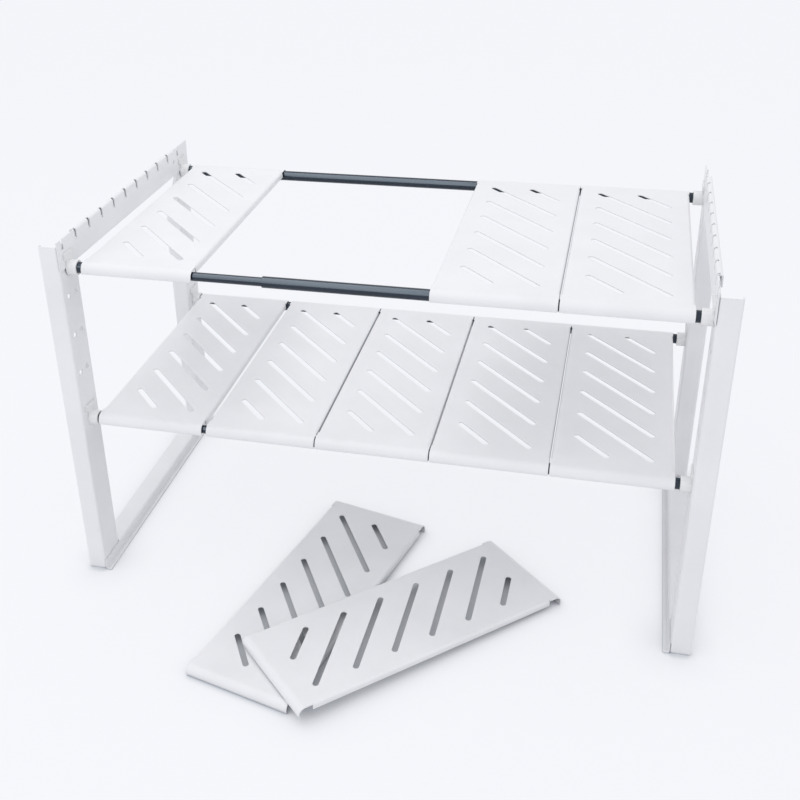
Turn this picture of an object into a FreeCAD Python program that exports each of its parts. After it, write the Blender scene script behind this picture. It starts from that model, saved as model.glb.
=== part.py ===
import FreeCAD, Part
import math
import os

Vec = FreeCAD.Vector

# All sizes are in millimetres. X runs along the width, Y from front to back, Z up from the floor.

# Side frames: overall size and the steel sheet that they are folded from
frame_height = 388.0
frame_depth = 334.0
frame_sheet = 1.2
frame_fold = 1.2

# Posts: a face seen from the front, a slotted web on the inner side, a lip behind and a turned-back hem;
# they end a little above the floor, where the bottom rails carry them, and a little below the top rails
post_face = 20.0
post_web = 36.0
post_lip = 10.0
post_hem = 5.0
post_lift = 2.0
post_drop = 5.0
rear_fold_height = 285.0

# Top rails: plates on the inner side of the webs, folded over in an open hem between the posts, with
# notches along the upper edge of the inner leaf
top_rail_height = 30.0
top_rail_hem = 11.5
top_rail_hem_gap = 3.2
notch_first = 10.0
notch_pitch = 29.5
notch_count = 11
notch_width = 4.0
notch_depth = 10.0
hole_size = 4.0
hole_from_back = 41.0
hole_below_top = 14.0

# Bottom rails: a side wall, a foot turned inward on the floor and a ledge turned outward
bottom_rail_height = 12.5
foot_reach = 5.0
ledge_width = 20.0
ledge_clearance = 1.0

# Slot pairs in the webs, one pair for each height that a rail can hang at
slot_length = 6.0
slot_height = 5.0
slot_spacing = 14.0
slot_pitch = 42.5
slot_rows = 5
slot_above_rail = 14.0
top_rail_axis_drop = 31.4
tier_steps = 4

# Telescopic rails: a thick tube, a thin tube that slides in it, and a collar on the thin tube's end
tube_diameter = 11.0
tube_wall = 0.8
slide_clearance = 0.4
thin_tube_shown = 197.5
tube_overlap = 242.0
collar_length = 26.0
collar_clearance = 0.05

# Sockets: blind cups for the tube ends, with two hooks that drop into the post slots
socket_length = 10.0
socket_width = 15.0
socket_height = 15.0
socket_round = 7.0
socket_edge = 1.0
socket_bore_depth = 7.5
socket_clearance = 0.1
end_clearance = 0.2
tongue_thickness = 1.5
tongue_width = 20.0
neck_width = 12.0
tongue_above_slot = 0.6
hook_thickness = 2.4
hook_drop = 2.2
hook_lip = 1.8
hook_clearance = 0.3

# Panels: sheet with curled ends over the tubes, folded long edges and diagonal slots
panel_width = 113.0
panel_sheet = 0.9
panel_fold = 2.0
panel_edge_depth = 6.5
panel_curl_radius = 6.5
rest_clearance = 0.3
edge_relief = 2.5
vent_count = 7
vent_pitch = 44.5
vent_width = 6.0
vent_length = 102.0
vent_angle = 46.5
vent_end_limit = 127.0

# Rows of panels: five on the lower tier, three on the top tier
row_panels = 5
panel_gap = 1.2
row_play = 2.4
end_ring = 4.5
top_left_push = 1.0
lower_left_push = -2.8

# Panels taken off: middle point in front of the rack and turn about the upright axis
loose_left_x = -60.8
loose_left_y = 4.8
loose_left_turn = -13.75
loose_right_x = 42.0
loose_right_y = -22.2
loose_right_turn = -44.3

# Sizes that follow
rail_setback = post_web / 2
rail_span = frame_depth - 2 * rail_setback
top_axis = frame_height - top_rail_axis_drop
lower_axis = top_axis - tier_steps * slot_pitch
thin_diameter = tube_diameter - 2 * tube_wall - 2 * slide_clearance
frame_width = (2 * (post_face + socket_length + end_ring) + row_panels * panel_width
               + (row_panels - 2) * panel_gap + row_play)
inner_face = frame_width / 2 - post_face
panel_underside = tube_diameter / 2 + rest_clearance
curl_past_level = math.degrees(math.acos(panel_underside / panel_curl_radius))
lip_height = frame_height - top_rail_height


def left_of(direction):
    """Direction turned a quarter turn to the left in the XY plane."""
    return Vec(-direction.y, direction.x, 0)


def line(start, end):
    return Part.LineSegment(start, end).toShape()


def arc(start, middle, end):
    return Part.Arc(start, middle, end).toShape()


def face_of(edges):
    return Part.Face(Part.Wire(Part.sortEdges(edges)[0]))


def block(x_low, x_high, y_low, y_high, z_low, z_high):
    return Part.makeBox(x_high - x_low, y_high - y_low, z_high - z_low, Vec(x_low, y_low, z_low))


def mirrored(shape):
    """The same piece for the other side frame."""
    return shape.mirror(Vec(0, 0, 0), Vec(1, 0, 0))


def along_depth(section, start, end):
    """Solid from a section drawn as (x, z), run from one depth to another."""
    upright = section.copy()
    upright.rotate(Vec(0, 0, 0), Vec(1, 0, 0), 90)
    upright.translate(Vec(0, start, 0))
    return upright.extrude(Vec(0, end - start, 0))


def along_width(section, start, end):
    """Solid from a section drawn as (y, z), run from one place across the width to another."""
    upright = section.copy()
    upright.rotate(Vec(0, 0, 0), Vec(1, 1, 1), 120)
    upright.translate(Vec(start, 0, 0))
    return upright.extrude(Vec(end - start, 0, 0))


def folded_section(corners, sheet, fold):
    """Section of a sheet folded square at each corner of its middle line."""
    bend = fold + sheet / 2
    runs = [(after - before).normalize() for before, after in zip(corners, corners[1:])]
    edges = []
    ends = []
    for offset in (sheet / 2, -sheet / 2):
        point = corners[0] + left_of(runs[0]) * offset
        ends.append(point)
        for corner, before, after in zip(corners[1:-1], runs, runs[1:]):
            centre = corner - before * bend + after * bend
            start = corner - before * bend + left_of(before) * offset
            end = corner + after * bend + left_of(after) * offset
            middle = centre + (corner - centre).normalize() * (start - centre).Length
            edges.append(line(point, start))
            edges.append(arc(start, middle, end))
            point = end
        last = corners[-1] + left_of(runs[-1]) * offset
        ends.append(last)
        edges.append(line(point, last))
    edges.append(line(ends[0], ends[2]))
    edges.append(line(ends[1], ends[3]))
    return face_of(edges)


def slot_pairs(depth_axis, heights):
    """Cutters for the hook slots of the left frame, beside a rail axis at each of the heights."""
    cutters = []
    for height in heights:
        for side in (-1, 1):
            middle = depth_axis + side * slot_spacing / 2
            centre = height + slot_above_rail
            cutters.append(block(-frame_width / 2 + post_face / 2, -inner_face + post_face / 2,
                                 middle - slot_length / 2, middle + slot_length / 2,
                                 centre - slot_height / 2, centre + slot_height / 2))
    return cutters


def post(front):
    """Upright of the left frame; the folds of the rear one taper off below the top rail."""
    half = frame_sheet / 2
    web = post_face - half
    back = post_web - half
    section = folded_section([Vec(half, post_hem), Vec(half, half), Vec(web, half), Vec(web, back),
                              Vec(post_face - post_lip, back)], frame_sheet, frame_fold)
    solid = section.extrude(Vec(0, 0, frame_height - post_drop - post_lift))
    solid.translate(Vec(0, 0, post_lift))
    folded_part = post_face - frame_sheet - frame_fold
    slope = [Vec(-1, rear_fold_height), Vec(folded_part, lip_height), Vec(folded_part, frame_height + 1),
             Vec(-1, frame_height + 1), Vec(-1, rear_fold_height)]
    cut_from = post_hem + frame_sheet if front else -1
    solid = solid.cut(along_depth(Part.Face(Part.makePolygon(slope)), cut_from, post_web + 1))
    start = 0 if front else frame_depth - post_web
    solid.translate(Vec(-frame_width / 2, start, 0))
    rows = [lower_axis + step * slot_pitch for step in range(slot_rows)]
    return solid.cut(slot_pairs(start + rail_setback, rows))


def top_rail():
    """Plate along the top of the left frame, with an open hem, notches, hook slots and one small hole."""
    half = frame_sheet / 2
    inner_leaf = -inner_face + half
    outer_leaf = inner_leaf - frame_sheet - top_rail_hem_gap
    top = frame_height - half
    hem = folded_section([Vec(inner_leaf, lip_height), Vec(inner_leaf, top), Vec(outer_leaf, top),
                          Vec(outer_leaf, frame_height - top_rail_hem)], frame_sheet, frame_fold)
    front = post_web + ledge_clearance
    back = frame_depth - post_web - ledge_clearance
    hemmed = along_depth(hem, front, back)
    inside = inner_leaf + half
    ends = [block(-inner_face, inside, low, high, lip_height, frame_height)
            for low, high in ((0, front), (back, frame_depth))]
    cutters = slot_pairs(rail_setback, [top_axis]) + slot_pairs(frame_depth - rail_setback, [top_axis])
    for number in range(notch_count):
        middle = notch_first + number * notch_pitch
        cutters.append(block(-inner_face - top_rail_hem_gap / 2, inside + 1,
                             middle - notch_width / 2, middle + notch_width / 2,
                             frame_height - notch_depth, frame_height + 1))
    cutters.append(Part.makeCylinder(hole_size / 2, frame_sheet + 2,
                                     Vec(-inner_face - 1, frame_depth - hole_from_back,
                                         frame_height - hole_below_top), Vec(1, 0, 0)))
    return hemmed.fuse(ends).removeSplitter().cut(cutters)


def bottom_rail():
    """Rail along the floor on the left: wall and foot over the full depth, ledge between the posts."""
    half = frame_sheet / 2
    wall = -inner_face + half
    foot = Vec(-inner_face + frame_sheet + foot_reach, half)
    heel = Vec(wall, half)
    plain = folded_section([foot, heel, Vec(wall, bottom_rail_height)], frame_sheet, frame_fold)
    ledge = bottom_rail_height - half
    stepped = folded_section([foot, heel, Vec(wall, ledge), Vec(-inner_face - ledge_width, ledge)],
                             frame_sheet, frame_fold)
    front = post_web + ledge_clearance
    back = frame_depth - post_web - ledge_clearance
    rail = along_depth(plain, 0, front).fuse([along_depth(stepped, front, back),
                                              along_depth(plain, back, frame_depth)])
    return rail.removeSplitter()


def rounded_plate(width, low, high, radius):
    """Section drawn as (y, z), with round corners."""
    half = width / 2
    plate = Part.makePolygon([Vec(-half, low), Vec(half, low), Vec(half, high), Vec(-half, high),
                              Vec(-half, low)])
    solid = Part.Face(plate).extrude(Vec(0, 0, 1))
    upright = [edge for edge in solid.Edges if abs(edge.BoundBox.ZLength - 1) < 0.01]
    return [face for face in solid.makeFillet(radius, upright).Faces if face.CenterOfMass.z < 0.01][0]


def socket():
    """Cup for a tube end on the left, seated at x = 0 with the tube axis along X through the origin."""
    cup = along_width(rounded_plate(socket_width, -socket_height / 2, socket_height / 2, socket_round),
                      0, socket_length)
    mouth = [edge for edge in cup.Edges if edge.BoundBox.XMin > socket_length - 0.01]
    cup = cup.makeFillet(socket_edge, mouth)
    slot_low = slot_above_rail - slot_height / 2
    hook_low = slot_low + end_clearance
    hook_high = hook_low + hook_thickness
    tongue_top = slot_above_rail + slot_height / 2 + tongue_above_slot
    bar = rounded_plate(tongue_width, slot_low - tongue_thickness, tongue_top, tongue_thickness)
    neck = rounded_plate(neck_width, 0, tongue_top, tongue_thickness)
    throat = 2 * frame_sheet + hook_clearance
    pieces = [along_width(plate, 0, tongue_thickness) for plate in (bar, neck)]
    for side in (-1, 1):
        low = side * slot_spacing / 2 - slot_length / 2 + hook_clearance
        high = side * slot_spacing / 2 + slot_length / 2 - hook_clearance
        pieces.append(block(-throat - hook_lip, tongue_thickness / 2, low, high, hook_low, hook_high))
        pieces.append(block(-throat - hook_lip, -throat, low, high, hook_low - hook_drop, hook_high))
    bore = Part.makeCylinder(tube_diameter / 2 + socket_clearance, socket_bore_depth + 1,
                             Vec(socket_length - socket_bore_depth, 0, 0), Vec(1, 0, 0))
    return cup.fuse(pieces).removeSplitter().cut(bore)


def tube(diameter, bore, start, end):
    """Round tube along X."""
    outside = Part.makeCylinder(diameter / 2, end - start, Vec(start, 0, 0), Vec(1, 0, 0))
    return outside.cut(Part.makeCylinder(bore / 2, end - start, Vec(start, 0, 0), Vec(1, 0, 0)))


def rail(seat):
    """One telescopic rail between seats at -seat and seat, with its thin tube on the left."""
    bottom = seat - socket_length + socket_bore_depth - end_clearance
    full_span = 2 * (inner_face - socket_length + socket_bore_depth - end_clearance)
    thick_length = full_span - thin_tube_shown
    thin_length = thin_tube_shown + tube_overlap
    return {
        "outer_tube": tube(tube_diameter, tube_diameter - 2 * tube_wall, bottom - thick_length, bottom),
        "inner_tube": tube(thin_diameter, thin_diameter - 2 * tube_wall, -bottom, -bottom + thin_length),
        "sleeve": tube(tube_diameter, thin_diameter + 2 * collar_clearance, -bottom,
                       -bottom + collar_length),
    }


def curl_section():
    """Section of a panel's back end as (y, z): flat sheet, then a curl that still lifts off the tube."""
    centre = Vec(rail_span / 2, panel_underside - panel_curl_radius)
    flat_start = rail_span / 2 - tube_diameter / 2 - edge_relief

    def rim(radius, degrees):
        return centre + Vec(math.cos(math.radians(degrees)), math.sin(math.radians(degrees))) * radius

    edges = []
    halfway = (90 - curl_past_level) / 2
    for radius in (panel_curl_radius, panel_curl_radius + panel_sheet):
        edges.append(line(Vec(flat_start, centre.y + radius), rim(radius, 90)))
        edges.append(arc(rim(radius, 90), rim(radius, halfway), rim(radius, -curl_past_level)))
    edges.append(line(Vec(flat_start, panel_underside), Vec(flat_start, panel_underside + panel_sheet)))
    edges.append(line(rim(panel_curl_radius, -curl_past_level),
                      rim(panel_curl_radius + panel_sheet, -curl_past_level)))
    return face_of(edges)


def vent(start, end, radius):
    """Round-ended slot cutter between two points of the panel."""
    direction = (end - start).normalize()
    side = left_of(direction) * radius
    outline = [line(start + side, end + side), arc(end + side, end + direction * radius, end - side),
               line(end - side, start - side), arc(start - side, start - direction * radius, start + side)]
    return face_of(outline).extrude(Vec(0, 0, tube_diameter))


def panel():
    """Panel centred over the rails, with the tube axes at z = 0; its vents run from back left to front right."""
    half = panel_width / 2 - panel_sheet / 2
    middle = panel_underside + panel_sheet / 2
    low = panel_underside + panel_sheet - panel_edge_depth
    flat_end = rail_span / 2 - tube_diameter / 2 - edge_relief
    tray = folded_section([Vec(-half, low), Vec(-half, middle), Vec(half, middle), Vec(half, low)],
                          panel_sheet, panel_fold)
    curl = along_width(curl_section(), -panel_width / 2, panel_width / 2)
    solid = along_depth(tray, -flat_end, flat_end)
    solid = solid.fuse([curl, curl.mirror(Vec(0, 0, 0), Vec(0, 1, 0))]).removeSplitter()
    along = Vec(-math.cos(math.radians(vent_angle)), math.sin(math.radians(vent_angle)))
    vents = []
    for number in range(vent_count):
        middle = (number - (vent_count - 1) / 2) * vent_pitch
        first = max(-vent_length / 2, (-vent_end_limit - middle) / along.y)
        last = min(vent_length / 2, (vent_end_limit - middle) / along.y)
        vents.append(vent(Vec(0, middle) + along * first, Vec(0, middle) + along * last, vent_width / 2))
    return solid.cut(vents)


def placed(shape, x, y, z):
    moved = shape.copy()
    moved.translate(Vec(x, y, z))
    return moved


def lying(shape, x, y, turn, tilt, roll):
    """A panel off the rack, turned, leaned and set down so that it just touches the floor."""
    moved = shape.copy()
    moved.rotate(Vec(0, 0, 0), Vec(0, 1, 0), roll)
    moved.rotate(Vec(0, 0, 0), Vec(1, 0, 0), tilt)
    moved.rotate(Vec(0, 0, 0), Vec(0, 0, 1), turn)
    moved.translate(Vec(x, y, -moved.BoundBox.ZMin))
    return moved


def turned(degrees, x, y):
    """A panel's own point on the floor, turned about the upright axis."""
    cosine = math.cos(math.radians(degrees))
    sine = math.sin(math.radians(degrees))
    return Vec(x * cosine - y * sine, x * sine + y * cosine)


def loose_panels(shape):
    """The left panel lies flat; the right one leans across the left one's long edge."""
    height = shape.BoundBox.ZLength
    span = shape.BoundBox.YLength
    step = height + rest_clearance
    edge_point = Vec(loose_left_x, loose_left_y) + turned(loose_left_turn, panel_width / 2, 0)
    edge_run = turned(loose_left_turn, 0, 1)
    back_point = Vec(loose_right_x, loose_right_y) + turned(loose_right_turn, -panel_width / 2, 0)
    back_run = turned(loose_right_turn, 0, 1)
    across = left_of(edge_run)
    crossing = span / 2 + (edge_point - back_point).dot(across) / back_run.dot(across)
    rise = step * crossing / span - (height - panel_edge_depth)
    tilt = -math.degrees(math.asin(step / span))
    roll = math.degrees(math.asin(max(rise, 0) / panel_width))
    return {
        "loose_panel_left": lying(shape, loose_left_x, loose_left_y, loose_left_turn, 0, 0),
        "loose_panel_right": lying(shape, loose_right_x, loose_right_y, loose_right_turn, tilt, roll),
    }


nodes = {}

left_pieces = {"front_post": post(True), "rear_post": post(False), "top_rail": top_rail(),
               "bottom_rail": bottom_rail()}
for name, shape in left_pieces.items():
    nodes["left_" + name] = shape
    nodes["right_" + name] = mirrored(shape)

left_socket = socket()
one_panel = panel()
tiers = {"top": (top_axis, inner_face - frame_sheet), "lower": (lower_axis, inner_face)}
places = {"front": rail_setback, "back": frame_depth - rail_setback}
for tier, (height, seat) in tiers.items():
    for place, depth in places.items():
        stem = tier + "_" + place + "_"
        seated = placed(left_socket, -seat, depth, height)
        nodes["left_" + stem + "socket"] = seated
        nodes["right_" + stem + "socket"] = mirrored(seated)
        for name, shape in rail(seat).items():
            laid = placed(shape, 0, depth, height)
            nodes[stem + name] = laid if place == "front" else mirrored(laid)

panel_step = panel_width + panel_gap
for tier, (height, seat) in tiers.items():
    row_end = seat - socket_length - end_ring - panel_width / 2
    spots = {"1": -row_end, "2": row_end - 3 * panel_step, "3": row_end - 2 * panel_step,
             "4": row_end - panel_step, "5": row_end}
    if tier == "top":
        spots = {"left": spots["1"] + top_left_push, "middle": spots["4"], "right": spots["5"]}
    else:
        spots["1"] = spots["1"] + lower_left_push
    for name, x in spots.items():
        nodes[tier + "_panel_" + name] = placed(one_panel, x, frame_depth / 2, height)
nodes.update(loose_panels(one_panel))

# The origin lies on the floor, under the middle of everything
overall = Part.makeCompound(list(nodes.values())).BoundBox
to_origin = Vec(-overall.Center.x, -overall.Center.y, -overall.ZMin)
os.makedirs("parts", exist_ok=True)
for name, shape in nodes.items():
    shape.translate(to_origin)
    shape.exportStep("parts/" + name + ".step")
    print(name, shape.isValid(), len(shape.Solids), round(shape.Volume / 1000, 2), "cm3")
print("size", round(overall.XLength, 1), round(overall.YLength, 1), round(overall.ZLength, 1),
      "moved by", to_origin)
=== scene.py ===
from functools import cached_property

import bpy
from mathutils import Matrix, Vector

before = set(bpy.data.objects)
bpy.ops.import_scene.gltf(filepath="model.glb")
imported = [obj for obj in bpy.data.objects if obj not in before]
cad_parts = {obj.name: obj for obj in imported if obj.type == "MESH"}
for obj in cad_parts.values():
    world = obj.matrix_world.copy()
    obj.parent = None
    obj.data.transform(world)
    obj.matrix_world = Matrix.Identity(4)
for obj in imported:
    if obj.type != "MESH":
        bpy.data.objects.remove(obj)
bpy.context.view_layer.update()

# Camera: where the photograph was taken from, in metres, for a square frame
CAMERA_PLACE = Vector((0.2153, -0.9575, 0.7763))
CAMERA_AHEAD = Vector((-0.2418, 0.8533, -0.4621))
CAMERA_ROLL = -0.033
CAMERA_LENS = 49.98
CAMERA_SHIFT = (0.0875, -0.0625)

# Light: a plain bright room, a long soft box overhead, and one that only shows as a shine on the tubes
OVERHEAD = {"place": (-0.42, -1.20, 1.75), "aim": (-0.42, -1.20, 0.0), "size": (0.65, 3.8), "power": 9.0}
SHINE = {"place": (-0.62, -1.00, 1.25), "aim": (-0.62, -0.55, 0.14), "size": (1.05, 3.45), "power": 40.0}
ROOM_LIGHT = 0.91
ROOM_COLOUR = (0.942, 0.950, 0.988, 1.0)

# Floor: paper that stays pale to the camera, still takes the object's shadow, and has painted shade close
# under things
FLOOR_REACH = 8.0
FLOOR_COLOUR = (0.86, 0.865, 0.88)
# Painted shade: the paper's colour close under things
FLOOR_PAINTED_SHADE = (0.34, 0.38, 0.43)
FLOOR_GLOW = 0.82
SHADE_REACH = 50.0
CONTACT_REACH = 8.0

# Finishes: colours as linear values, sizes and depths of textures in millimetres
PAINT_WHITE = (0.872, 0.873, 0.88)
PAINT_THIN = (0.66, 0.67, 0.69)
# Painted shade: the colour the powder coat is darkened to deep in folds and corners, within the corner reach
PAINT_CORNER_SHADE = (0.36, 0.38, 0.42)
CORNER_SHADE_REACH = 5.0
PLASTIC_WHITE = (0.86, 0.86, 0.855)
PLASTIC_GLOW_DEPTH = (0.002, 0.002, 0.0018)
SLATE = (0.010, 0.014, 0.022)
SLATE_WORN = (0.22, 0.23, 0.25)
SLATE_SHINE = (0.74, 0.87, 1.0, 1.0)
SLATE_IOR = 1.53
MILLIMETRES = 1000.0

# Ranges of a noise: the steep middle for tones, and nearly all of it for gloss
MIDDLE = (0.35, 0.65)
MOST = (0.3, 0.7)
WHOLE = (0.0, 1.0)


def tinted(colour, factor):
    """The colour made lighter or darker by a factor."""
    return tuple(factor * channel for channel in colour)


class Tree:
    """A node tree, with short ways to add nodes and join them."""

    def __init__(self, tree):
        self.nodes = tree.nodes
        self.links = tree.links

    def add(self, kind, **settings):
        made = self.nodes.new(kind)
        for name, value in settings.items():
            setattr(made, name, value)
        return made

    def feed(self, socket, value):
        """A link from another node's output, or a plain value."""
        if isinstance(value, bpy.types.NodeSocket):
            self.links.new(value, socket)
        else:
            socket.default_value = value

    def math(self, operation, first, second):
        made = self.add("ShaderNodeMath", operation=operation)
        self.feed(made.inputs[0], first)
        self.feed(made.inputs[1], second)
        return made.outputs["Value"]

    def span(self, value, source, target=WHOLE):
        """A value moved from one range to another, and kept within it."""
        made = self.add("ShaderNodeMapRange")
        self.feed(made.inputs["Value"], value)
        for name, number in zip(("From Min", "From Max", "To Min", "To Max"), (*source, *target)):
            self.feed(made.inputs[name], number)
        return made.outputs["Result"]

    def seen_directly(self):
        """1 for rays from the camera, a mirror or glass, and 0 for light on its way to the object."""
        path = self.add("ShaderNodeLightPath").outputs
        reflected = self.math("MAXIMUM", path["Is Glossy Ray"], path["Is Transmission Ray"])
        return self.math("MAXIMUM", path["Is Camera Ray"], reflected)


class Finish(Tree):
    """A node material with the parts that every finish shares."""

    def __init__(self, name, roughness, edge_radius=0.0):
        self.material = bpy.data.materials.new(name)
        self.material.use_nodes = True
        super().__init__(self.material.node_tree)
        self.shader = self.nodes["Principled BSDF"]
        self.shader.inputs["Roughness"].default_value = roughness
        self.place = self.add("ShaderNodeTexCoord").outputs["Object"]
        self.edge_radius = edge_radius

    def stretched(self, scale):
        """Places in millimetres, squeezed by a factor along each axis."""
        mapping = self.add("ShaderNodeMapping")
        self.feed(mapping.inputs["Vector"], self.place)
        self.feed(mapping.inputs["Scale"], [MILLIMETRES * factor for factor in scale])
        return mapping.outputs["Vector"]

    def noise(self, size, detail, stretch=(1, 1, 1)):
        """Noise with features of about that many millimetres, from 0 to 1."""
        texture = self.add("ShaderNodeTexNoise")
        self.feed(texture.inputs["Vector"], self.stretched(stretch))
        self.feed(texture.inputs["Scale"], 1 / size)
        self.feed(texture.inputs["Detail"], detail)
        return texture.outputs["Fac"]

    def mix(self, share, first, second):
        """Colours mixed by a share from 0 to 1."""
        made = self.add("ShaderNodeMix", data_type="RGBA")
        self.feed(made.inputs["Factor"], share)
        for name, colour in (("A", first), ("B", second)):
            solid = isinstance(colour, tuple)
            self.feed(made.inputs[name], (*colour, 1.0) if solid else colour)
        return made.outputs["Result"]

    @cached_property
    def rounded(self):
        """Normal of the surface with its edges rounded by the edge radius in millimetres."""
        bevel = self.add("ShaderNodeBevel", samples=6)
        self.feed(bevel.inputs["Radius"], self.edge_radius / MILLIMETRES)
        return bevel.outputs["Normal"]

    @cached_property
    def edges(self):
        """Share from 0 on the flats to 1 on an edge, as wide as the edge radius."""
        geometry = self.add("ShaderNodeNewGeometry")
        product = self.add("ShaderNodeVectorMath", operation="DOT_PRODUCT")
        self.feed(product.inputs[0], self.rounded)
        self.feed(product.inputs[1], geometry.outputs["Normal"])
        return self.span(product.outputs["Value"], source=(0.72, 0.99), target=(1.0, 0.0))

    def open_space(self, reach, samples=8):
        """Share from 0 in a closed corner or gap to 1 in the open, looking that many millimetres far."""
        made = self.add("ShaderNodeAmbientOcclusion", samples=samples)
        self.feed(made.inputs["Distance"], reach / MILLIMETRES)
        return made.outputs["AO"]

    def bump(self, height, depth, normal):
        """Normal after a height from 0 to 1 that stands for that many millimetres."""
        made = self.add("ShaderNodeBump")
        self.feed(made.inputs["Height"], height)
        self.feed(made.inputs["Distance"], depth / MILLIMETRES)
        self.feed(made.inputs["Normal"], normal)
        return made.outputs["Normal"]

    def finish(self, colour, roughness, normal):
        self.feed(self.shader.inputs["Base Color"], colour)
        self.feed(self.shader.inputs["Roughness"], roughness)
        self.feed(self.shader.inputs["Normal"], normal)
        return self.material


def painted_steel(name):
    """White powder coat: orange peel, faint clouds, thin paint on cut edges, and painted shade deep in folds
    and corners.
    """
    paint = Finish(name, roughness=0.4, edge_radius=0.5)
    clouds = paint.noise(size=60.0, detail=3.0)
    wear = paint.noise(size=9.0, detail=4.0)
    peel = paint.noise(size=1.6, detail=1.0)
    grain = paint.noise(size=0.45, detail=2.0)
    colour = paint.mix(paint.span(clouds, MIDDLE), tinted(PAINT_WHITE, 0.965), PAINT_WHITE)
    worn = paint.math("MULTIPLY", paint.edges, paint.span(wear, MIDDLE, (0.25, 0.8)))
    colour = paint.mix(worn, colour, PAINT_THIN)
    # Painted shade: the colour goes darker deep in folds, corners and narrow gaps, where shade falls
    corners = paint.span(paint.open_space(CORNER_SHADE_REACH), source=(0.1, 0.8), target=(0.7, 0.0))
    colour = paint.mix(corners, colour, PAINT_CORNER_SHADE)
    broad_gloss = paint.span(clouds, MOST, (0.33, 0.43))
    fine_gloss = paint.span(grain, MOST, (-0.04, 0.04))
    gloss = paint.math("ADD", broad_gloss, fine_gloss)
    normal = paint.bump(peel, depth=0.02, normal=paint.rounded)
    normal = paint.bump(grain, depth=0.004, normal=normal)
    return paint.finish(colour, gloss, normal)


def moulded_plastic(name):
    """White moulded plastic with a fine eroded grain, smoother on its edges."""
    plastic = Finish(name, roughness=0.4, edge_radius=0.5)
    plastic.shader.inputs["Subsurface Weight"].default_value = 0.08
    plastic.shader.inputs["Subsurface Radius"].default_value = PLASTIC_GLOW_DEPTH
    grain = plastic.noise(size=0.35, detail=3.0)
    flow = plastic.noise(size=7.0, detail=2.0, stretch=(1, 1, 0.5))
    colour = plastic.mix(plastic.span(flow, MIDDLE), tinted(PLASTIC_WHITE, 0.95), PLASTIC_WHITE)
    grain_gloss = plastic.span(grain, MOST, (0.42, 0.54))
    edge_gloss = plastic.math("MULTIPLY", plastic.edges, 0.1)
    gloss = plastic.math("SUBTRACT", grain_gloss, edge_gloss)
    return plastic.finish(colour, gloss, plastic.bump(grain, depth=0.012, normal=plastic.rounded))


def slate_tube(name):
    """Slate-grey gloss paint on drawn tube: fine lines along it from sliding, bare metal on the cut rims."""
    slate = Finish(name, roughness=0.3, edge_radius=0.25)
    slate.shader.inputs["IOR"].default_value = SLATE_IOR
    slate.shader.inputs["Specular Tint"].default_value = SLATE_SHINE
    streaks = slate.noise(size=0.5, detail=3.0, stretch=(0.012, 1, 1))
    clouds = slate.noise(size=25.0, detail=3.0)
    peel = slate.noise(size=1.2, detail=1.0)
    lines = slate.math("MULTIPLY", slate.span(streaks, (0.62, 0.72)), 0.12)
    rims = slate.math("MULTIPLY", slate.edges, 0.6)
    colour = slate.mix(slate.span(clouds, MIDDLE), SLATE, tinted(SLATE, 1.25))
    colour = slate.mix(lines, colour, SLATE_WORN)
    colour = slate.mix(rims, colour, SLATE_WORN)
    gloss = slate.math("ADD", slate.span(clouds, MOST, (0.11, 0.17)), lines)
    normal = slate.bump(peel, depth=0.012, normal=slate.rounded)
    normal = slate.bump(streaks, depth=0.004, normal=normal)
    return slate.finish(colour, gloss, normal)


def dress():
    """Each node of the frame gets the full finish of its material slot."""
    finishes = {
        "white_steel": painted_steel("powder_coated_steel"),
        "white_plastic": moulded_plastic("moulded_plastic"),
        "slate_tube": slate_tube("slate_gloss_tube"),
    }
    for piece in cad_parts.values():
        for slot in piece.material_slots:
            slot.material = finishes[slot.material.name]


def floor_paper():
    """Pale paper, bright to the camera except close under things, where its colour is darkened with painted
    shade.
    """
    paper = Finish("floor_paper", roughness=0.9)
    paper.shader.inputs["Specular IOR Level"].default_value = 0.1
    wide = paper.open_space(SHADE_REACH, samples=16)
    close = paper.open_space(CONTACT_REACH, samples=16)
    open_above = paper.math("MULTIPLY", wide, close)
    # Painted shade: the paper's colour goes dark where things close above it shut out the open space
    paper.feed(paper.shader.inputs["Base Color"], paper.mix(open_above, FLOOR_PAINTED_SHADE, FLOOR_COLOUR))
    glow = paper.add("ShaderNodeEmission")
    glow.inputs["Color"].default_value = ROOM_COLOUR
    share = paper.math("MULTIPLY", paper.seen_directly(), FLOOR_GLOW)
    mixed = paper.add("ShaderNodeMixShader")
    paper.feed(mixed.inputs["Fac"], paper.math("MULTIPLY", share, open_above))
    paper.feed(mixed.inputs[1], paper.shader.outputs["BSDF"])
    paper.feed(mixed.inputs[2], glow.outputs["Emission"])
    paper.feed(paper.nodes["Material Output"].inputs["Surface"], mixed.outputs["Shader"])
    return paper.material


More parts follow.
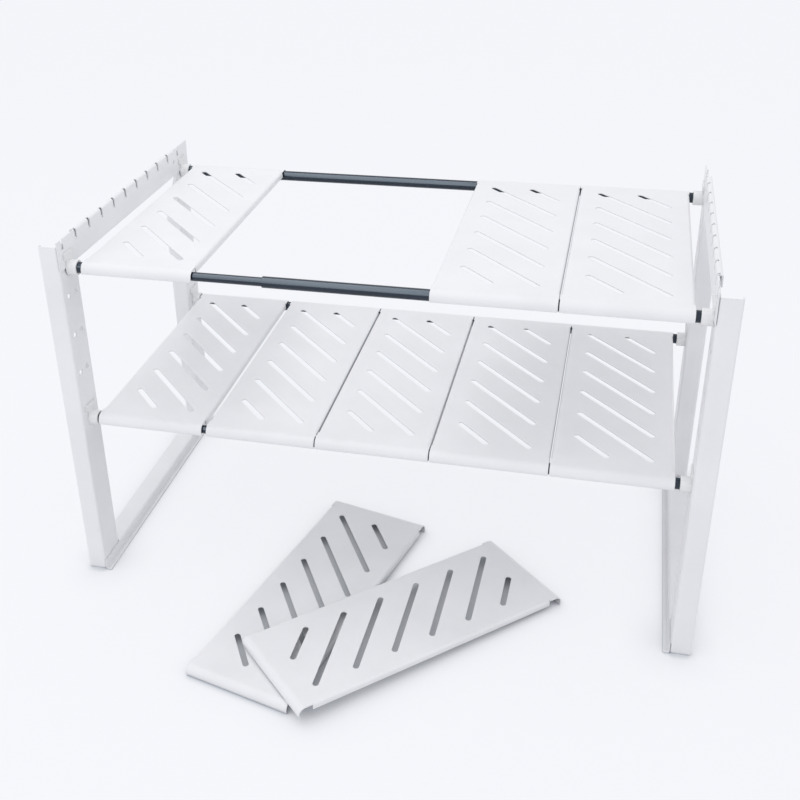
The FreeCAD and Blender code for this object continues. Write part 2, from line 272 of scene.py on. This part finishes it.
def make_floor():
    """One wide square at floor level."""
    ends = (-FLOOR_REACH, FLOOR_REACH)
    corners = [(x, y, 0) for x in ends for y in ends]
    mesh = bpy.data.meshes.new("floor")
    mesh.from_pydata(corners, [], [(0, 2, 3, 1)])
    mesh.materials.append(floor_paper())
    floor = bpy.data.objects.new("floor", mesh)
    bpy.context.scene.collection.objects.link(floor)


def make_room():
    """Even light from all round, which the camera sees as a white room."""
    world = bpy.data.worlds.new("room")
    world.use_nodes = True
    room = Tree(world.node_tree)
    background = room.nodes["Background"]
    background.inputs["Color"].default_value = ROOM_COLOUR
    strength = room.span(room.seen_directly(), WHOLE, (ROOM_LIGHT, 1.0))
    room.feed(background.inputs["Strength"], strength)
    bpy.context.scene.world = world


def make_soft_box(name, place, aim, size, power):
    """A rectangular lamp that the camera doesn't see."""
    light = bpy.data.lights.new(name, "AREA")
    light.shape = "RECTANGLE"
    light.size, light.size_y = size
    light.energy = power
    lamp = bpy.data.objects.new(name, light)
    lamp.location = place
    lamp.rotation_euler = (Vector(aim) - Vector(place)).to_track_quat("-Z", "Y").to_euler()
    lamp.visible_camera = False
    bpy.context.scene.collection.objects.link(lamp)
    return lamp


def shine_on_tubes(lamp):
    """The lamp shows as a reflection on the tubes and their sleeves, and nowhere else."""
    tubes = bpy.data.collections.new("tubes")
    for name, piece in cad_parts.items():
        if name.endswith(("_tube", "_sleeve")):
            tubes.objects.link(piece)
    lamp.light_linking.receiver_collection = tubes
    lamp.visible_diffuse = False


def make_camera():
    """Looks ahead from its place, rolled so that upright lines lean as they do in the photograph."""
    ahead = CAMERA_AHEAD.normalized()
    level = ahead.cross(Vector((0, 0, 1))).normalized()
    up = level.cross(ahead)
    right = (level + up * CAMERA_ROLL / up.z).normalized()
    up = right.cross(ahead)
    turn = Matrix((right, up, -ahead)).transposed()
    data = bpy.data.cameras.new("camera")
    data.lens = CAMERA_LENS
    data.shift_x, data.shift_y = CAMERA_SHIFT
    camera = bpy.data.objects.new("camera", data)
    camera.matrix_world = Matrix.Translation(CAMERA_PLACE) @ turn.to_4x4()
    bpy.context.scene.collection.objects.link(camera)
    bpy.context.scene.camera = camera


dress()
make_floor()
make_room()
make_soft_box("overhead", **OVERHEAD)
shine_on_tubes(make_soft_box("shine", **SHINE))
make_camera()
bpy.context.scene.view_settings.view_transform = "Standard"
